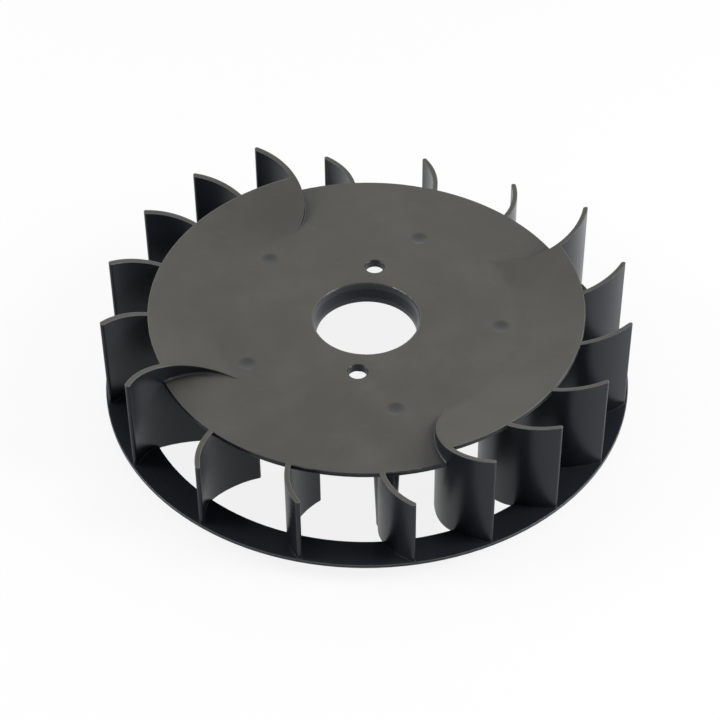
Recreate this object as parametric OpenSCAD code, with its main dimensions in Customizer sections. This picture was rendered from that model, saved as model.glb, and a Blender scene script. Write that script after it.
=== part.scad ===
// Cooling fan of a small engine's flywheel: one moulding with a stepped disc, curved blades and a foot ring.
// Millimetres, +Z up. The origin is on the spin axis at the disc's flat upper face.
// The two pin holes lie on the Y axis.

/* [Disc] */
// Radius of the disc's rim
disc_r = 97; // [92:0.5:102]
// Thickness of the disc
disc_t = 2.2; // [1.6:0.1:3]
// Radius of the soft rounding along the disc's rim
rim_round = 0.4; // [0.2:0.1:0.8]

/* [Raised sectors] */
// Radius at which a raised sector starts to climb out of the flat disc
ramp_start_r = 68.8; // [64:0.2:72]
// Slope of a raised sector and of the tall blades' top edges, in degrees
ramp_slope = 16.9; // [12:0.1:20]
// Width of the soft bend at the foot of a raised sector
ramp_bend = 4; // [2:0.5:6]
// Radius of the fillet along the foot of the steps beside a raised sector
step_fillet = 1; // [0.4:0.1:1.6]

/* [Blades] */
// Radius at which the blades end outside
tip_r = 117.8; // [113:0.1:121]
// Radius at which the blades start under the disc
root_r = 74.2; // [71:0.1:78]
// Thickness of a blade
blade_t = 2.2; // [1.6:0.1:3]
// Angle that a blade's curve turns through between its ends, in degrees
blade_bend = 89.5; // [70:0.5:100]
// How far a blade's outer end is turned round the axis past its inner end, in degrees
blade_wrap = 2.3; // [0:0.1:5]
// Angle from the Y axis of the pin holes to the first tall blade's tip
first_tip = 33.2; // [25:0.1:40]
// How far the closest and the widest pitches depart from even spacing, in degrees
pitch_spread = 3; // [0:0.25:4]
// Tall blades on each raised sector, out of the nine on each half
tall_count = 6; // [4:1:7]
// How far a short blade's top edge climbs from the rim to its tip
short_rise = 0.8; // [0:0.1:2]

/* [Foot] */
// Depth of the blades' lowest edge below the disc's flat face
foot_depth = 41.6; // [39:0.2:45]
// Radius up to which the lowest edge stays level
foot_level_r = 80; // [78:0.5:86]
// Depth of the ring's upper outer edge below the disc's flat face
ring_depth = 32.7; // [31:0.1:35]
// How far the ring stands out past the blades' tips
ring_lip = 1; // [0.1:0.1:1.5]
// Width of the ring
ring_w = 16.2; // [10:0.2:18]
// Thickness of the ring
ring_t = 1.5; // [1.2:0.1:2.5]
// How far the ring's inner edge lies below its outer edge
ring_dish = 3; // [1:0.1:4]

/* [Root bosses] */
// Diameter of the boss beside the last short blade of each half, at the disc
boss_d = 11.8; // [8:0.2:14]
// Draft of the boss's side, in degrees
boss_draft = 2.1; // [1:0.1:4]
// Radius of the circle that the two bosses lie on
boss_circle_r = 86.4; // [80:0.2:88]
// How far a boss is turned back from its blade's tip, in degrees
boss_turn = 4.5; // [3:0.1:5]

/* [Hub] */
// Diameter of the bore's straight land at its lower end
bore_d = 45.5; // [44:0.1:46.5]
// Length of the land
land_h = 2.5; // [2:0.1:4]
// Diameter of the bore where it passes through the seat
mouth_d = 47.3; // [47:0.1:50]
// Depth of the bore
hub_depth = 10.7; // [9:0.1:14]
// Wall of the collar round the bore
hub_wall = 1.3; // [1:0.1:3]
// Rounding of the mouth's upper edge
mouth_round = 0.9; // [0.3:0.1:1.2]
// Radius of the thicker seat round the hub
seat_r = 43; // [40:0.5:50]
// Thickness of the disc at the seat
seat_t = 3.8; // [3:0.1:6]
// Diameter of a pin hole
pin_d = 8.4; // [6:0.1:9]
// Radius of the circle that the pin holes lie on
pin_circle_r = 35.3; // [34.6:0.1:37]
// Countersink round a pin hole's upper edge
pin_chamfer = 0.5; // [0.2:0.1:0.8]

/* [Gate dimples] */
// Number of dimples
dimple_count = 5; // [3:1:8]
// Radius of the circle that the dimples lie on
dimple_circle_r = 60; // [52:0.5:62]
// Diameter of a dimple
dimple_d = 8; // [4:0.5:10]
// Depth of a dimple
dimple_depth = 0.7; // [0.3:0.1:1]

/* [Hidden] */
$fn = 180;

// The blades' top edges stop this far under the disc's face, so that the face itself stays whole
edge_sink = 0.02;
halves = 2;
half_turn = 360 / halves;
blades_per_half = 9;
even_pitch = half_turn / blades_per_half;
// The pitch grows from blade to blade round each half, and its nine departures cancel out.
pitch_pattern = [-1, -1, -1/3, 0, 1/6, 1, 1, 7/6, -1];
pin_angle = 90;
dimple_angle = 0;

bend_in_r = ramp_start_r - ramp_bend / 2;
bend_steps = 4;
bend_radii = [for (k = [0:bend_steps]) bend_in_r + ramp_bend * k / bend_steps];
// The raised sectors reach this far into the flat disc at their inner edge
sector_lap = 1;
// The wedge that bounds a raised sector has rays at most this far apart, in degrees
ray_gap = 30;
// The step walls reach this far into the blades
step_lap = 8;
// The fillets at the feet of the steps stay this far below the raised surface
fillet_sink = 0.3;
// The blades' round ends are this much thicker than the blades, so that they cross the faces cleanly
end_swell = 0.02;
ring_r = tip_r + ring_lip;
ring_in_r = ring_r - ring_w;
ring_top_out = -ring_depth;
ring_top_in = ring_top_out - ring_dish;
foot_z = -foot_depth;
// Shapes that only bound others reach this far past them
clearance = 5;
plan_reach = tip_r + clearance;
tall = foot_depth + (plan_reach - ramp_start_r) * tan(ramp_slope) + clearance;

// A blade's arc through both its ends, with the inner end on the X axis
inner_end = [root_r, 0];
outer_end = tip_r * [cos(blade_wrap), sin(blade_wrap)];
chord = outer_end - inner_end;
curve_r = norm(chord) / (2 * sin(blade_bend / 2));
arc_centre = (inner_end + outer_end) / 2
    + curve_r * cos(blade_bend / 2) * [-chord[1], chord[0]] / norm(chord);
centre_r = norm(arc_centre);
bore_r = bore_d / 2;
mouth_r = mouth_d / 2;
land_z = land_h - hub_depth;
// The step walls start where the raised sectors do, or where the arc comes nearest to the axis
step_in_r = max(bend_in_r, centre_r - curve_r);

// Height of the raised surface at radius r, with a parabola as the soft bend
function ramp_z(r) =
    let (s = tan(ramp_slope), u = r - ramp_start_r + ramp_bend / 2)
    u <= 0 ? 0 : u < ramp_bend ? s * u * u / (2 * ramp_bend) : s * (r - ramp_start_r);

// Angle at a blade's centre of curvature between the axis and the point of the arc at radius r
function arc_angle(r) =
    acos((centre_r * centre_r + curve_r * curve_r - r * r) / (2 * centre_r * curve_r));

// Angle at the axis between the point of the arc at radius r and the centre of curvature
function lead_angle(r) =
    acos((centre_r * centre_r + r * r - curve_r * curve_r) / (2 * centre_r * r));

// Turn of blade i of a half, counted from the first tall one
function turn_before(i) = i == 0 ? 0 : turn_before(i - 1) + even_pitch + pitch_spread * pitch_pattern[i - 1];
function blade_turn(i) = pin_angle + first_tip + turn_before(i) + lead_angle(tip_r);

// Height of the blades' lower edge at radius r, inside the ring
foot_run = ring_in_r - foot_level_r;
foot_rise = ring_top_in - ring_t - foot_z;
foot_curve_r = (foot_run * foot_run + foot_rise * foot_rise) / (2 * foot_rise);
function foot_edge_z(r) = foot_z + foot_curve_r - sqrt(pow(foot_curve_r, 2) - pow(r - foot_level_r, 2));

// Plan of one blade: an arc band with round ends, seen from its centre of curvature
module blade_plan(inner_r, outer_r, thickness) {
    start = arc_angle(inner_r + thickness / 2);
    end = arc_angle(outer_r - thickness / 2);
    far = 2 * curve_r;
    intersection() {
        difference() {
            circle(r = curve_r + thickness / 2);
            circle(r = curve_r - thickness / 2);
        }
        polygon([[0, 0], for (k = [0:2]) let (a = 180 + start + (end - start) * k / 2) far * [cos(a), sin(a)]]);
    }
    for (a = [start, end]) rotate(180 + a) translate([curve_r, 0]) circle(d = thickness + end_swell, $fn = 48);
}

module place_blade(i) {
    rotate(blade_turn(i)) translate([centre_r, 0]) children();
}

// Plan of one raised sector: from the outer face of its first blade to the inner face of its last
module sector_plan(inner_r, outer_r) {
    first = blade_turn(0);
    last = blade_turn(tall_count - 1);
    steps = ceil((last - first) / ray_gap);
    intersection() {
        difference() {
            circle(r = outer_r);
            circle(r = inner_r);
        }
        difference() {
            union() {
                polygon([[0, 0], for (k = [0:steps]) let (a = first + (last - first) * k / steps)
                    2 * outer_r * [cos(a), sin(a)]]);
                place_blade(0) circle(r = curve_r);
            }
            place_blade(tall_count - 1) circle(r = curve_r);
        }
    }
}

// Flat disc with a rounded rim, open where the raised sectors take its place
module flat_disc() {
    difference() {
        rotate_extrude() disc_section();
        for (h = [0:halves - 1]) rotate(h * half_turn)
            translate([0, 0, -tall]) linear_extrude(2 * tall)
                sector_plan(bend_in_r, plan_reach);
    }
}

module disc_section() {
    translate([0, -disc_t]) square([disc_r - rim_round, disc_t]);
    translate([0, -disc_t]) square([disc_r, disc_t - rim_round]);
    translate([disc_r - rim_round, -rim_round]) circle(r = rim_round, $fn = 32);
}

// Line of a raised surface from the bend out to radius reach, lowered by sink
function ramp_line(reach, sink) = [for (r = concat(bend_radii, [reach])) [r, ramp_z(r) - sink]];

// Section of a raised sector: the same wall, bent up along the ramp
module raised_section() {
    top = concat([[bend_in_r - sector_lap, 0]], ramp_line(disc_r, 0));
    polygon([for (p = top) p, for (k = [len(top) - 1:-1:0]) top[k] - [0, disc_t]]);
}

module raised_sectors() {
    intersection() {
        rotate_extrude() raised_section();
        for (h = [0:halves - 1]) rotate(h * half_turn)
            translate([0, 0, -tall]) linear_extrude(2 * tall)
                sector_plan(bend_in_r - sector_lap, plan_reach);
    }
}

// Section that bounds the blades: the foot below, the given top edge above
module blade_section(top_edge) {
    edge_steps = 5;
    polygon(concat(
        [[bend_in_r, foot_z]],
        [for (k = [0:edge_steps]) let (r = foot_level_r + foot_run * k / edge_steps) [r, foot_edge_z(r)]],
        [[plan_reach, ring_top_out - ring_t / 2]],
        top_edge));
}

module blades(first, last, top_edge) {
    intersection() {
        rotate_extrude() blade_section(top_edge);
        translate([0, 0, -tall]) linear_extrude(2 * tall)
            for (h = [0:halves - 1], i = [first:last])
                rotate(h * half_turn) place_blade(i) blade_plan(root_r, tip_r, blade_t);
    }
}

// Tall blades: their top edges carry on the slope of the raised sectors
module tall_blades() {
    line = ramp_line(plan_reach, edge_sink);
    blades(0, tall_count - 1, [for (k = [len(line) - 1:-1:0]) line[k]]);
}

// Steps beside a raised sector: its first and last blade carried on inwards to the foot of the ramp
module step_walls() {
    intersection() {
        rotate_extrude() step_section(2 * edge_sink);
        translate([0, 0, -tall]) linear_extrude(2 * tall)
            for (h = [0:halves - 1], i = [0, tall_count - 1])
                rotate(h * half_turn) place_blade(i)
                    blade_plan(step_in_r, root_r + step_lap, blade_t - 2 * edge_sink);
    }
}

// Section from inside the disc up to the raised surface lowered by sink
module step_section(sink) {
    line = ramp_line(disc_r, sink);
    polygon(concat(
        [[bend_in_r, -disc_t / 2], [disc_r, -disc_t / 2]],
        [for (k = [len(line) - 1:-1:0]) line[k]]));
}

// Fillets along the feet of the steps, on the side where the flat disc lies
module step_fillets() {
    low = step_fillet - edge_sink;
    start = arc_angle(step_in_r + blade_t / 2);
    end = arc_angle(disc_r);
    intersection() {
        rotate_extrude() step_section(fillet_sink);
        for (h = [0:halves - 1], last = [0, 1])
            rotate(h * half_turn) place_blade(last * (tall_count - 1)) rotate(180 + start)
                rotate_extrude(angle = end - start) step_fillet_section(last == 0 ? 1 : -1, low);
    }
}

// Section of a fillet on the outer (side 1) or inner (side -1) face of a blade
module step_fillet_section(side, low) {
    face = curve_r + side * (blade_t / 2 - edge_sink);
    difference() {
        polygon([
            [face - side * blade_t / 4, -disc_t / 2], [face + side * step_fillet, -disc_t / 2],
            [face + side * step_fillet, low], [face - side * blade_t / 4, low]
        ]);
        translate([face + side * step_fillet, low]) circle(r = step_fillet, $fn = 48);
    }
}

// Short blades: their top edges are almost level with the flat disc
module short_blades() {
    beyond = short_rise * (plan_reach - disc_r) / (tip_r - disc_r);
    blades(tall_count, blades_per_half - 1, [[plan_reach, beyond], [disc_r, -edge_sink], [bend_in_r, -edge_sink]]);
}

// Dished ring that ties the blades together at their outer feet
module ring() {
    rotate_extrude() polygon([
        [ring_in_r, ring_top_in], [ring_r, ring_top_out],
        [ring_r, ring_top_out - ring_t], [ring_in_r, ring_top_in - ring_t]
    ]);
}

// Thicker seat and the tapered collar round the bore
module hub() {
    translate([0, 0, -seat_t]) cylinder(r = seat_r, h = seat_t);
    rotate_extrude() polygon([
        [0, -hub_depth], [bore_r + hub_wall, -hub_depth], [bore_r + hub_wall, land_z],
        [mouth_r + hub_wall, -seat_t], [mouth_r + hub_wall, -seat_t / 2], [0, -seat_t / 2]
    ]);
}

// Bore: straight through the seat, tapering to the land, with a rounded upper edge
module bore() {
    rotate_extrude() difference() {
        polygon([
            [0, -hub_depth - clearance], [bore_r, -hub_depth - clearance], [bore_r, land_z],
            [mouth_r, -seat_t], [mouth_r, -mouth_round], [mouth_r + mouth_round, -mouth_round],
            [mouth_r + mouth_round, clearance], [0, clearance]
        ]);
        translate([mouth_r + mouth_round, -mouth_round]) circle(r = mouth_round, $fn = 32);
    }
}

// Tapered bosses that run from the disc down to the blades' foot
module bosses() {
    side_in = tan(boss_draft) * (foot_depth - disc_t / 2);
    for (h = [0:halves - 1])
        rotate(h * half_turn + blade_turn(blades_per_half - 1) - lead_angle(tip_r) - boss_turn)
            translate([boss_circle_r, 0, foot_z])
                cylinder(r1 = boss_d / 2 - side_in, r2 = boss_d / 2, h = foot_depth - disc_t / 2, $fn = 64);
}

module pin_holes() {
    for (h = [0:halves - 1]) rotate(pin_angle + h * half_turn) translate([pin_circle_r, 0]) {
        translate([0, 0, -seat_t - clearance]) cylinder(d = pin_d, h = seat_t + 2 * clearance, $fn = 64);
        translate([0, 0, -pin_chamfer])
            cylinder(d1 = pin_d, d2 = pin_d + 4 * pin_chamfer, h = 2 * pin_chamfer, $fn = 64);
    }
}

// Shallow dimples, each a cap of a large ball
module dimples() {
    ball_r = (pow(dimple_d / 2, 2) + pow(dimple_depth, 2)) / (2 * dimple_depth);
    for (k = [0:dimple_count - 1]) rotate(dimple_angle + k * 360 / dimple_count)
        translate([dimple_circle_r, 0, ball_r - dimple_depth]) sphere(r = ball_r, $fn = 96);
}

module fan_wheel() {
    color("dimgray") difference() {
        union() {
            union() {
                flat_disc();
                raised_sectors();
                hub();
            }
            union() {
                tall_blades();
                short_blades();
                ring();
                bosses();
                step_walls();
                step_fillets();
            }
        }
        bore();
        pin_holes();
        dimples();
    }
}

fan_wheel();
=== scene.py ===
"""Engine flywheel fan: plastic finish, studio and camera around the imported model."""
import math

import bpy
from mathutils import Matrix, Vector


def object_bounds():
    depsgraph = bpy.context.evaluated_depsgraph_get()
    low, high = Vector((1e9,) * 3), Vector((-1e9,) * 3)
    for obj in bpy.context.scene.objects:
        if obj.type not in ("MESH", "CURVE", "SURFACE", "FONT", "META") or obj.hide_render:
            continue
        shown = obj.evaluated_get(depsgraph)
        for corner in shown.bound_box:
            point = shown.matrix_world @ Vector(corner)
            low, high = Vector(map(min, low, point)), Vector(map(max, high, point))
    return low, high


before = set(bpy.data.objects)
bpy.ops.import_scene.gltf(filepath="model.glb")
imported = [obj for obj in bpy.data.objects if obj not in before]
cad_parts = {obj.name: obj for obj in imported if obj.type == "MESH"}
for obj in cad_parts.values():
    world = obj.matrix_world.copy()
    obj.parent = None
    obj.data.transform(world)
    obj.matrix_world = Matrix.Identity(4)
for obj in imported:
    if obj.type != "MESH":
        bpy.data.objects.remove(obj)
cad_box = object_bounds()

# Camera, fitted to the photograph's view of the wheel
VIEW_TARGET = Vector((0.00018, -0.028005, 0.0))
VIEW_DISTANCE = 0.96552
VIEW_ELEVATION = math.radians(42.9576)
VIEW_HEADING = math.radians(96.65)
VIEW_ROLL = math.radians(-0.6013)
LENS_MM = 110.363
SENSOR_MM = 36.0
CLIP_START = 0.05
CLIP_END = 20.0

# Each span below runs from where its mask is 0 to where it is 1.

# Floor: pale paper just under the wheel. It glows for the camera and in the wheel's gloss,
# where the glow grows from near to back along the bright side's direction.
WHITE = (1, 1, 1, 1)
FLOOR_SIZE = 6.0
FLOOR_GAP = 0.0001
FLOOR_PAPER = (0.86, 0.86, 0.86, 1)
FLOOR_GLOW = 0.86
FLOOR_GLOW_IN_GLOSS = 0.8
GLOSS_NEAR = 0.38
GLOSS_BACK = 1.65
BRIGHT_SIDE = (0.58, 0.81, 0.0)
BRIGHT_SPAN = (-0.3, 0.45)

# Sky: dimmer in front and overhead, brighter at the back. Its spans are parts of a direction.
SKY_FRONT = 0.38
SKY_BACK = 1.0
SKY_TOP_SHARE = 0.6
SKY_BACK_SPAN = (-0.5, 0.6)
SKY_TOP_SPAN = (0.5, 1.0)

# Side lights, aimed at the wheel's centre
LIGHT_SIZE = 0.5
LIGHT_SIDE = 0.95
LIGHT_FORWARD = -0.1
LIGHT_HEIGHT = 0.6
RIGHT_POWER = 9.0
LEFT_POWER = 5.5

# Walls end where the surface faces up: TILT_SPAN is the upward part of its direction. The pale
# matt colour above them is partly the matt finish and partly painted light from above.
# UPPER_SPAN is the height, from the disc's upper face, between the ring and the matt faces.
TILT_SPAN = (0.6, 0.95)
UPPER_SPAN = (-0.02, -0.006)

# Painted shade: inner corners keep the dark wall colour, not the pale matt one: how far a corner
# is felt, and how open it has to be
CORNER_SHADE_REACH = 0.004
CORNER_SHADE_SPAN = (0.58, 0.94)

# Dimples and bore mouth, where and how far they are smoother or worn; the dimples are also darker,
# as painted shade, and the mouth paler, as wear and painted highlight
DIMPLE_COUNT = 5
DIMPLE_CIRCLE_R = 0.060
DIMPLE_R = 0.004
DIMPLE_SPAN = (1.3 * DIMPLE_R, 0.5 * DIMPLE_R)
MOUTH_R = 0.0246
MOUTH_RADIUS_SPAN = (MOUTH_R, 0.985 * MOUTH_R)
MOUTH_HEIGHT_SPAN = (-0.0015, -0.0007)

# Paler edges, wear and painted highlight, outside the disc's steps: EDGE_SPAN is the cosine
# between true and rounded surface
WEAR_HIGHLIGHT_FROM_R = 0.092
WEAR_HIGHLIGHT_FADE = 0.004
WEAR_HIGHLIGHT_SPAN = (WEAR_HIGHLIGHT_FROM_R, WEAR_HIGHLIGHT_FROM_R + WEAR_HIGHLIGHT_FADE)
EDGE_ROUND = 0.0007
EDGE_SPAN = (0.995, 0.9)
MASK_SAMPLES = 6

# Colours and wear of the plastic
MATT_DARK = (0.061, 0.0570, 0.0468, 1)
MATT_PALE = (0.077, 0.0722, 0.0606, 1)
MATT_STAIN = (0.048, 0.046, 0.040, 1)
MATT_SCRATCH = (0.11, 0.11, 0.10, 1)
# The dimples' colour is darker than the matt: painted shade besides their smoother finish.
POLISH_AND_PAINTED_SHADE = (0.044, 0.044, 0.041, 1)
WALL_DARK = (0.0085, 0.0105, 0.0135, 1)
WALL_PALE = (0.0115, 0.0135, 0.0170, 1)
RING_TOP = (0.018, 0.021, 0.0265, 1)
# Paler edges and bore mouth: partly wear, partly painted highlight.
EDGE_WEAR_HIGHLIGHT_COLOUR = (0.19, 0.19, 0.185, 1)
EDGE_WEAR_HIGHLIGHT_SHARE = 0.75
MOUTH_WEAR_HIGHLIGHT_SHARE = 0.22
STAIN_SHARE = 0.35
SCRATCH_SHARE = 0.5

# Noise patterns: scale, detail and roughness of each, and the spans of its value
CLOUD = (22.0, 4.0, 0.6)
CLOUD_SPAN = (0.3, 0.7)
CLOUD_COLOUR_SPAN = (0.35, 0.65)
STAIN = (60.0, 5.0, 0.7)
STAIN_SPAN = (0.35, 0.7)
FINE = (900.0, 2.0, 0.6)
STREAK = (40.0, 2.0, 0.5)
STREAK_STRETCH = (1.0, 22.0, 1.0)
STREAK_SPAN = (0.66, 0.70)
STREAK_PATCH_SPAN = (0.5, 0.62)

# Gloss: the roughness of matt faces and walls changes with the cloud pattern
ROUGH_MATT = (0.46, 0.56)
ROUGH_WALL = (0.27, 0.35)
ROUGH_DIMPLE = 0.3
ROUGH_MOUTH = 0.22
BUMP_STRENGTH = 0.12
BUMP_DEPTH = 0.0002
PLASTIC_IOR = 1.47
GLOSS_TINT = (0.84, 0.92, 1.0, 1)


class Nodes:
    """Adds nodes to a tree and sets their inputs from values or from other nodes' outputs."""

    def __init__(self, tree):
        self.tree = tree
        tree.nodes.clear()

    def add(self, kind, inputs=None, **settings):
        node = self.tree.nodes.new(kind)
        for name, value in settings.items():
            setattr(node, name, value)
        for key, value in (inputs or {}).items():
            socket = node.inputs[key]
            if isinstance(value, bpy.types.NodeSocket):
                self.tree.links.new(value, socket)
            else:
                socket.default_value = value
        return node

    def math(self, operation, a, b=0.0, clamp=False):
        node = self.add("ShaderNodeMath", {0: a, 1: b}, operation=operation, use_clamp=clamp)
        return node.outputs[0]

    def times(self, a, b):
        return self.math("MULTIPLY", a, b)

    def length(self, a, b):
        """Length of the flat vector (a, b)."""
        return self.math("POWER", self.math("ADD", self.math("POWER", a, 2.0),
                                            self.math("POWER", b, 2.0)), 0.5)

    def dot(self, a, b):
        node = self.add("ShaderNodeVectorMath", {0: a, 1: b}, operation="DOT_PRODUCT")
        return node.outputs["Value"]

    def ramp(self, value, span):
        """0 on the side of the span's first end, 1 beyond its second end, smooth between."""
        node = self.add("ShaderNodeMapRange",
                        {"Value": value, "From Min": span[0], "From Max": span[1]},
                        interpolation_type="SMOOTHSTEP")
        return node.outputs["Result"]

    def blend(self, factor, a, b):
        node = self.add("ShaderNodeMix", {"Factor": factor, "A": a, "B": b}, data_type="FLOAT")
        return node.outputs["Result"]

    def colour(self, factor, a, b):
        """Mixes two colours; inputs 0, 6 and 7 are the mix node's factor and its two colours."""
        node = self.add("ShaderNodeMix", {0: factor, 6: a, 7: b}, data_type="RGBA")
        return node.outputs[2]

    def noise(self, place, pattern, stretch=(1.0, 1.0, 1.0)):
        scale, detail, rough = pattern
        mapping = self.add("ShaderNodeMapping", {"Vector": place, "Scale": stretch})
        node = self.add("ShaderNodeTexNoise", {"Vector": mapping.outputs["Vector"], "Scale": scale,
                                               "Detail": detail, "Roughness": rough})
        return node.outputs["Fac"]


def new_material(name):
    material = bpy.data.materials.new(name)
    material.use_nodes = True
    return material, Nodes(material.node_tree)


def dimple_mask(n, x, y, radius):
    """1 in each dimple of the disc's circle of dimples, the first of which lies on the X axis."""
    spacing = math.pi / DIMPLE_COUNT
    turn = n.add("ShaderNodeMath", {0: n.math("ARCTAN2", y, x), 1: spacing, 2: -spacing},
                 operation="WRAP").outputs[0]
    away = n.length(n.times(turn, DIMPLE_CIRCLE_R), n.math("SUBTRACT", radius, DIMPLE_CIRCLE_R))
    return n.ramp(away, DIMPLE_SPAN)


def moulded_plastic():
    """Black moulded plastic: gloss blue-black walls, matt stained grey where it faces up, that
    grey partly painted light from above; painted shade in corners and dimples; wear and painted
    highlight on edges.
    """
    material, n = new_material("moulded_plastic")
    place = n.add("ShaderNodeTexCoord").outputs["Object"]
    x, y, height = n.add("ShaderNodeSeparateXYZ", {0: place}).outputs
    radius = n.length(x, y)
    normal = n.add("ShaderNodeNewGeometry").outputs["Normal"]
    up = n.add("ShaderNodeSeparateXYZ", {0: normal}).outputs["Z"]

    # Paler matt colour on faces that point up at the disc's height: partly the matt finish, partly
    # painted light from above.
    tilt = n.ramp(up, TILT_SPAN)
    upper = n.ramp(height, UPPER_SPAN)
    # Painted shade: ambient occlusion keeps inner corners in the dark wall colour.
    corner = n.add("ShaderNodeAmbientOcclusion", {"Distance": CORNER_SHADE_REACH}, samples=MASK_SAMPLES)
    clear = n.ramp(corner.outputs["AO"], CORNER_SHADE_SPAN)
    faces_up = n.times(n.times(tilt, upper), clear)
    lower_top = n.times(tilt, n.math("SUBTRACT", 1.0, upper))
    dimple = dimple_mask(n, x, y, radius)
    mouth = n.times(n.ramp(radius, MOUTH_RADIUS_SPAN), n.ramp(height, MOUTH_HEIGHT_SPAN))

    # Paler rounded edges and bore mouth: partly wear, partly painted highlight.
    rounded = n.add("ShaderNodeBevel", {"Radius": EDGE_ROUND}, samples=MASK_SAMPLES).outputs[0]
    edge = n.times(n.ramp(n.dot(rounded, normal), EDGE_SPAN),
                   n.times(n.ramp(radius, WEAR_HIGHLIGHT_SPAN), clear))
    worn_and_highlit = n.math("MAXIMUM", n.times(edge, EDGE_WEAR_HIGHLIGHT_SHARE), n.times(mouth, MOUTH_WEAR_HIGHLIGHT_SHARE))

    cloud = n.noise(place, CLOUD)
    stain = n.noise(place, STAIN)
    fine = n.noise(place, FINE)
    streak = n.noise(place, STREAK, STREAK_STRETCH)
    scratch = n.times(n.ramp(streak, STREAK_SPAN), n.ramp(stain, STREAK_PATCH_SPAN))
    cloudy = n.ramp(cloud, CLOUD_SPAN)

    clean = n.colour(n.ramp(cloud, CLOUD_COLOUR_SPAN), MATT_DARK, MATT_PALE)
    stained = n.colour(n.ramp(stain, STAIN_SPAN), clean, n.colour(STAIN_SHARE, clean, MATT_STAIN))
    scratched = n.colour(n.times(scratch, SCRATCH_SHARE), stained, MATT_SCRATCH)
    # Darker colour in the dimples: painted shade besides their smoother finish.
    matt = n.colour(dimple, scratched, POLISH_AND_PAINTED_SHADE)
    wall = n.colour(lower_top, n.colour(cloudy, WALL_DARK, WALL_PALE), RING_TOP)
    base = n.colour(worn_and_highlit, n.colour(faces_up, wall, matt), EDGE_WEAR_HIGHLIGHT_COLOUR)

    rough_matt = n.blend(dimple, n.blend(cloudy, *ROUGH_MATT), ROUGH_DIMPLE)
    rough_wall = n.blend(cloudy, *ROUGH_WALL)
    roughness = n.blend(mouth, n.blend(faces_up, rough_wall, rough_matt), ROUGH_MOUTH)
    bump = n.add("ShaderNodeBump", {"Height": fine, "Strength": BUMP_STRENGTH,
                                    "Distance": BUMP_DEPTH, "Normal": rounded})
    shader = n.add("ShaderNodeBsdfPrincipled", {
        "Base Color": base, "Roughness": roughness, "IOR": PLASTIC_IOR,
        "Specular Tint": GLOSS_TINT, "Normal": bump.outputs[0]})
    n.add("ShaderNodeOutputMaterial", {"Surface": shader.outputs[0]})
    return material


def floor_material():
    """White paper; in the wheel's gloss it grows brighter towards the back and the right."""
    material, n = new_material("studio_floor")
    seen = n.add("ShaderNodeLightPath").outputs
    paper = n.add("ShaderNodeBsdfDiffuse", {"Color": FLOOR_PAPER})
    place = n.add("ShaderNodeTexCoord").outputs["Object"]
    bright = n.ramp(n.dot(place, BRIGHT_SIDE), BRIGHT_SPAN)
    strength = n.blend(seen["Is Glossy Ray"], 1.0, n.blend(bright, GLOSS_NEAR, GLOSS_BACK))
    glow = n.add("ShaderNodeEmission", {"Color": WHITE, "Strength": strength})
    share = n.math("MAXIMUM", n.times(seen["Is Camera Ray"], FLOOR_GLOW),
                   n.times(seen["Is Glossy Ray"], FLOOR_GLOW_IN_GLOSS))
    mixed = n.add("ShaderNodeMixShader", {0: share, 1: paper.outputs[0], 2: glow.outputs[0]})
    n.add("ShaderNodeOutputMaterial", {"Surface": mixed.outputs[0]})
    return material


def make_floor(level):
    half = FLOOR_SIZE / 2
    corners = [(-half, -half), (half, -half), (half, half), (-half, half)]
    mesh = bpy.data.meshes.new("floor")
    mesh.from_pydata([(x, y, level) for x, y in corners], [], [(0, 1, 2, 3)])
    floor = bpy.data.objects.new("floor", mesh)
    bpy.context.scene.collection.objects.link(floor)
    mesh.materials.append(floor_material())


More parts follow.
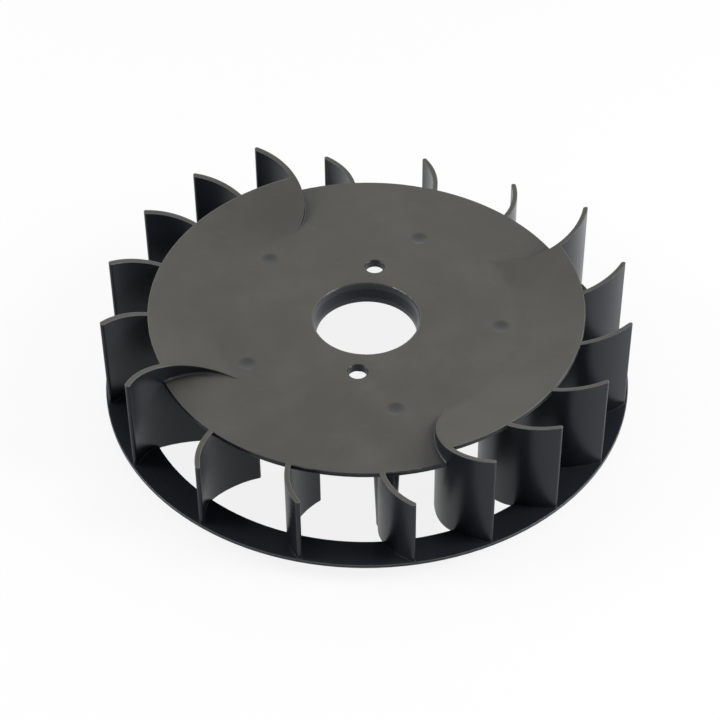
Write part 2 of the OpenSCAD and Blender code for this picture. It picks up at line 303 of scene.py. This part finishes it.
def make_sky():
    world = bpy.data.worlds.new("studio")
    world.use_nodes = True
    bpy.context.scene.world = world
    n = Nodes(world.node_tree)
    path = n.add("ShaderNodeLightPath").outputs
    shown = n.math("ADD", path["Is Camera Ray"], path["Is Transmission Ray"], clamp=True)
    direction = n.add("ShaderNodeTexCoord").outputs["Generated"]
    toward = n.add("ShaderNodeSeparateXYZ", {0: direction}).outputs
    around = n.blend(n.ramp(toward["Y"], SKY_BACK_SPAN), SKY_FRONT, SKY_BACK)
    above = n.blend(n.ramp(toward["Z"], SKY_TOP_SPAN), 1.0, SKY_TOP_SHARE)
    strength = n.blend(shown, n.times(around, above), 1.0)
    sky = n.add("ShaderNodeBackground", {"Color": WHITE, "Strength": strength})
    n.add("ShaderNodeOutputWorld", {"Surface": sky.outputs[0]})


def side_light(name, across, power):
    """A soft square light on one side, aimed at the origin."""
    data = bpy.data.lights.new(name, "AREA")
    data.shape = "SQUARE"
    data.size = LIGHT_SIZE
    data.energy = power
    light = bpy.data.objects.new(name, data)
    bpy.context.scene.collection.objects.link(light)
    place = Vector((across, LIGHT_FORWARD, LIGHT_HEIGHT))
    aim = (-place).to_track_quat("-Z", "Y").to_matrix().to_4x4()
    light.matrix_world = Matrix.Translation(place) @ aim


def make_camera():
    data = bpy.data.cameras.new("camera")
    data.lens = LENS_MM
    data.sensor_width = SENSOR_MM
    data.sensor_fit = "HORIZONTAL"
    data.clip_start = CLIP_START
    data.clip_end = CLIP_END
    camera = bpy.data.objects.new("camera", data)
    bpy.context.scene.collection.objects.link(camera)
    along = Vector((
        math.cos(VIEW_HEADING) * math.cos(VIEW_ELEVATION),
        math.sin(VIEW_HEADING) * math.cos(VIEW_ELEVATION),
        -math.sin(VIEW_ELEVATION),
    ))
    heading = Matrix.Rotation(VIEW_HEADING - math.pi / 2, 4, "Z")
    elevation = Matrix.Rotation(math.pi / 2 - VIEW_ELEVATION, 4, "X")
    roll = Matrix.Rotation(VIEW_ROLL, 4, "Z")
    place = Matrix.Translation(VIEW_TARGET - along * VIEW_DISTANCE)
    camera.matrix_world = place @ heading @ elevation @ roll
    bpy.context.scene.camera = camera


make_camera()
make_sky()
make_floor(cad_box[0][2] - FLOOR_GAP)
side_light("right", LIGHT_SIDE, RIGHT_POWER)
side_light("left", -LIGHT_SIDE, LEFT_POWER)

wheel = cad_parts["fan_wheel"]
wheel.data.materials.clear()
wheel.data.materials.append(moulded_plastic())
for polygon in wheel.data.polygons:
    polygon.use_smooth = True

bpy.context.scene.view_settings.view_transform = "Standard"
